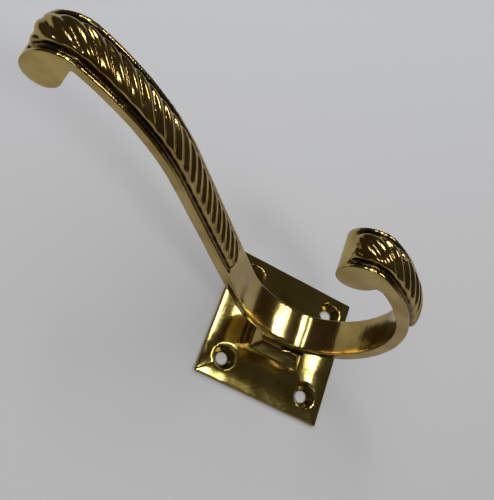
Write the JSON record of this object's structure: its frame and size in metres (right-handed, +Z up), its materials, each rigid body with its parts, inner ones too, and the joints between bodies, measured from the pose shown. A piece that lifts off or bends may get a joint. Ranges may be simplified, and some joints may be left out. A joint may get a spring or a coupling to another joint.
{
  "type": "hat and coat hook",
  "caption": "Cast brass wall hook: a square stepped backplate, a long upper arm for a hat and a lower curl for a coat, both with rope moulding.",
  "frame": {"origin": "middle of the backplate's back face, which lies on the wall", "axes": "+Z up the wall towards the hat arm's tip, -Y out of the wall, X across the strap"},
  "size_m": [0.038, 0.0807, 0.1061],
  "materials": {
    "cast_brass": "polished",
    "screw_brass": "machined"
  },
  "bodies": {
    "root": {"backplate": "cast_brass", "hook": "cast_brass", "fixing_screw": "screw_brass"}
  },
  "joints": []
}
